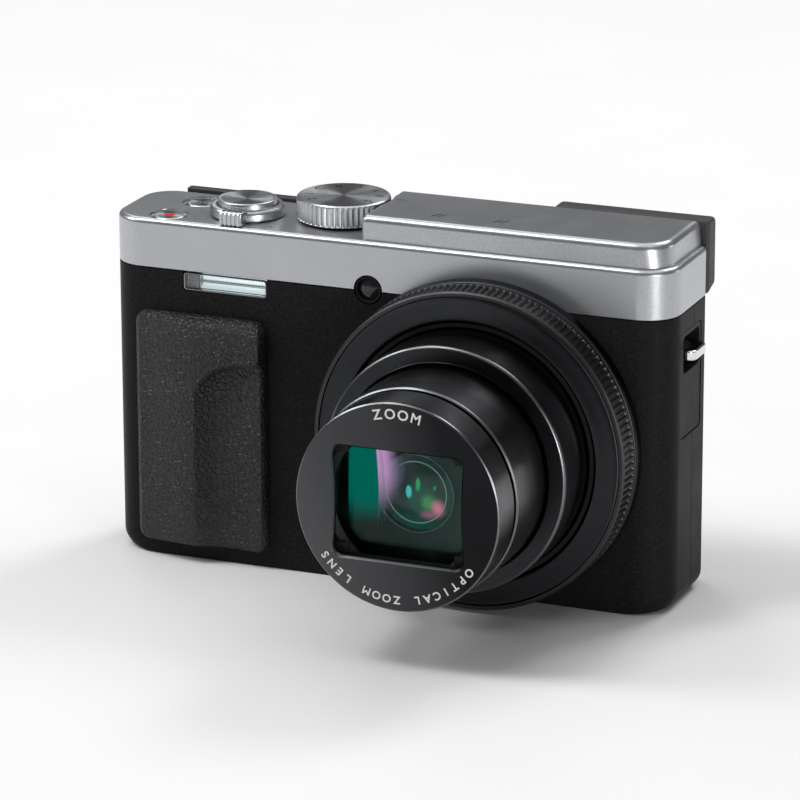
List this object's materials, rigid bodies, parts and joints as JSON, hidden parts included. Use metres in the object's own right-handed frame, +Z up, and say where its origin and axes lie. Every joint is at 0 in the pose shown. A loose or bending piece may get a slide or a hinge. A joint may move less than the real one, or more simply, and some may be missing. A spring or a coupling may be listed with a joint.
{
  "type": "compact digital camera",
  "caption": "Compact digital camera with an extending zoom lens in a control ring, eye-level viewfinder, flip-up rear screen, grip pad, mode dial, zoom lever and battery door.",
  "frame": {"origin": "on the underside, below the middle of the body's width and depth", "axes": "+X to the right of someone facing the lens, -Y the way the lens looks, +Z up"},
  "size_m": [0.112, 0.0675, 0.0688],
  "materials": {
    "silver_paint": "satin silver paint with a fine metallic fleck",
    "black_paint": "satin black paint with a very fine texture",
    "black_plastic": "fine matt moulded black",
    "grey_plastic": "matt dark grey, finely textured",
    "barrel_black": "black anodised, turned, satin",
    "grip_rubber": "leather-grained soft black",
    "dial_aluminium": "spun and satin",
    "chrome": "polished",
    "steel": "brushed",
    "brass": "machined",
    "board": "solder resist",
    "lens_glass": "polished, anti-reflection coated",
    "flash_glass": "clear, ribbed inside",
    "dark_glass": "polished dark window",
    "battery_shell": "matt",
    "card_shell": "satin"
  },
  "bodies": {
    "camera_body": {"top_cover": "silver_paint", "front_cover": "black_paint", "rear_cover": "black_plastic", "chassis": "steel", "grip_pad": "grip_rubber", "thumb_rest": "grip_rubber", "flash_window": "flash_glass", "flash_unit": "steel", "focus_lamp_lens": "dark_glass", "lens_base": "black_paint", "front_trim_ring": "barrel_black", "fixed_barrel": "black_plastic", "image_sensor": "dark_glass", "zoom_motor": "steel", "main_board": "board", "battery_case": "black_plastic", "battery": "battery_shell", "memory_card": "card_shell", "tripod_bush": "brass", "bottom_screw_1": "steel", "bottom_screw_2": "steel", "side_plate_right": "black_plastic", "side_plate_left": "black_plastic", "strap_lug_right": "chrome", "strap_lug_left": "chrome", "terminal_sockets": "black_plastic", "finder_housing": "grey_plastic", "eyepiece_frame": "grip_rubber", "eyepiece_lens": "lens_glass", "finder_display": "dark_glass"},
    "control_ring": {"control_ring": "barrel_black"},
    "outer_barrel": {"outer_barrel": "barrel_black"},
    "inner_barrel": {"inner_barrel": "barrel_black", "front_cap": "barrel_black", "lens_baffle": "black_plastic", "front_element": "lens_glass", "aperture_unit": "black_plastic", "rear_element": "lens_glass"},
    "blade_upper_front": {"barrier_blade_upper_front": "barrel_black"},
    "blade_lower_front": {"barrier_blade_lower_front": "barrel_black"},
    "blade_upper_rear": {"barrier_blade_upper_rear": "barrel_black"},
    "blade_lower_rear": {"barrier_blade_lower_rear": "barrel_black"},
    "battery_door": {"battery_door": "black_plastic"},
    "battery_latch": {"battery_latch": "grey_plastic"},
    "terminal_door": {"terminal_door": "black_plastic"},
    "dioptre_wheel": {"dioptre_wheel": "grey_plastic"},
    "hinge_plate": {"hinge_plate": "steel"},
    "screen": {"screen_frame": "black_plastic", "screen_glass": "dark_glass"},
    "mode_dial": {"mode_dial": "dial_aluminium"},
    "zoom_lever": {"zoom_lever": "dial_aluminium"},
    "shutter_button": {"shutter_button": "dial_aluminium"},
    "power_button": {"power_button": "dial_aluminium"},
    "movie_button": {"movie_button": "dial_aluminium"},
    "playback_button": {"playback_button": "black_plastic"},
    "display_button": {"display_button": "black_plastic"},
    "delete_button": {"delete_button": "black_plastic"},
    "control_wheel": {"control_wheel": "black_plastic"},
    "set_button": {"set_button": "black_plastic"},
    "finder_button": {"finder_button": "black_plastic"}
  },
  "joints": [
    {"name": "control_ring_turn", "type": "hinge", "parent": "camera_body", "child": "control_ring", "pos_m": [0.01984, -0.017, 0.03013], "axis": [0, -1, 0], "continuous": true},
    {"name": "outer_barrel_slide", "type": "slide", "parent": "camera_body", "child": "outer_barrel", "axis": [0, -1, 0], "range_m": [-0.011, 0.0035]},
    {"name": "inner_barrel_slide", "type": "slide", "parent": "outer_barrel", "child": "inner_barrel", "axis": [0, -1, 0], "range_m": [-0.0148, 0.0048]},
    {"name": "blade_upper_front_slide", "type": "slide", "parent": "inner_barrel", "child": "blade_upper_front", "axis": [0, 0, -1], "range_m": [0, 0.00985]},
    {"name": "blade_lower_front_slide", "type": "slide", "parent": "inner_barrel", "child": "blade_lower_front", "axis": [0, 0, 1], "range_m": [0, 0.00986]},
    {"name": "blade_upper_rear_slide", "type": "slide", "parent": "inner_barrel", "child": "blade_upper_rear", "axis": [0, 0, -1], "range_m": [0, 0.00461]},
    {"name": "blade_lower_rear_slide", "type": "slide", "parent": "inner_barrel", "child": "blade_lower_rear", "axis": [0, 0, 1], "range_m": [0, 0.00461]},
    {"name": "battery_door_hinge", "type": "hinge", "parent": "camera_body", "child": "battery_door", "pos_m": [-0.0302, 0.00455, 0.00075], "axis": [1, 0, 0], "range_deg": [0, 95]},
    {"name": "battery_latch_slide", "type": "slide", "parent": "battery_door", "child": "battery_latch", "axis": [1, 0, 0], "range_m": [0, 0.002]},
    {"name": "terminal_door_hinge", "type": "hinge", "parent": "camera_body", "child": "terminal_door", "pos_m": [-0.0537, -0.0029, 0.0316], "axis": [0, 0, 1], "range_deg": [0, 100]},
    {"name": "dioptre_turn", "type": "hinge", "parent": "camera_body", "child": "dioptre_wheel", "pos_m": [0.051, 0.014, 0.0623], "axis": [0, 1, 0], "range_deg": [-120, 120]},
    {"name": "hinge_plate_tilt", "type": "hinge", "parent": "camera_body", "child": "hinge_plate", "pos_m": [0.015, 0.0102, 0.027], "axis": [-1, 0, 0], "range_deg": [0, 22.1]},
    {"name": "screen_flip", "type": "hinge", "parent": "hinge_plate", "child": "screen", "pos_m": [0.015, 0.0102, 0.0504], "axis": [1, 0, 0], "range_deg": [0, 202]},
    {"name": "mode_dial_turn", "type": "hinge", "parent": "camera_body", "child": "mode_dial", "pos_m": [-0.0128, 0.0024, 0.066], "axis": [0, 0, 1], "continuous": true},
    {"name": "zoom_lever_turn", "type": "hinge", "parent": "camera_body", "child": "zoom_lever", "pos_m": [-0.0305, -0.0007, 0.065], "axis": [0, 0, 1], "range_deg": [-20, 20], "stiffness_Nm_per_rad": 0.02},
    {"name": "shutter_press", "type": "slide", "parent": "camera_body", "child": "shutter_button", "axis": [0, 0, -1], "range_m": [0, 0.0007], "stiffness_N_per_m": 800},
    {"name": "power_press", "type": "slide", "parent": "camera_body", "child": "power_button", "axis": [0, 0, -1], "range_m": [0, 0.0004], "stiffness_N_per_m": 800},
    {"name": "movie_press", "type": "slide", "parent": "camera_body", "child": "movie_button", "axis": [0, 0, -1], "range_m": [0, 0.0004], "stiffness_N_per_m": 800},
    {"name": "playback_press", "type": "slide", "parent": "camera_body", "child": "playback_button", "axis": [0, -1, 0], "range_m": [0, 0.0004], "stiffness_N_per_m": 600},
    {"name": "display_press", "type": "slide", "parent": "camera_body", "child": "display_button", "axis": [0, -1, 0], "range_m": [0, 0.0004], "stiffness_N_per_m": 600},
    {"name": "delete_press", "type": "slide", "parent": "camera_body", "child": "delete_button", "axis": [0, -1, 0], "range_m": [0, 0.0004], "stiffness_N_per_m": 600},
    {"name": "control_wheel_turn", "type": "hinge", "parent": "camera_body", "child": "control_wheel", "pos_m": [-0.0386, 0.011, 0.028], "axis": [0, 1, 0], "continuous": true},
    {"name": "set_press", "type": "slide", "parent": "camera_body", "child": "set_button", "axis": [0, -1, 0], "range_m": [0, 0.0004], "stiffness_N_per_m": 600},
    {"name": "finder_press", "type": "slide", "parent": "camera_body", "child": "finder_button", "axis": [0, -1, 0], "range_m": [0, 0.0004], "stiffness_N_per_m": 600}
  ],
  "couplings": [
    {"joint": "inner_barrel_slide", "follows": "outer_barrel_slide", "ratio": 1.345},
    {"joint": "blade_lower_front_slide", "follows": "blade_upper_front_slide", "ratio": 1},
    {"joint": "blade_upper_rear_slide", "follows": "blade_upper_front_slide", "ratio": 0.467},
    {"joint": "blade_lower_rear_slide", "follows": "blade_upper_front_slide", "ratio": 0.467},
    {"joint": "hinge_plate_tilt", "follows": "screen_flip", "ratio": 0.1089}
  ]
}
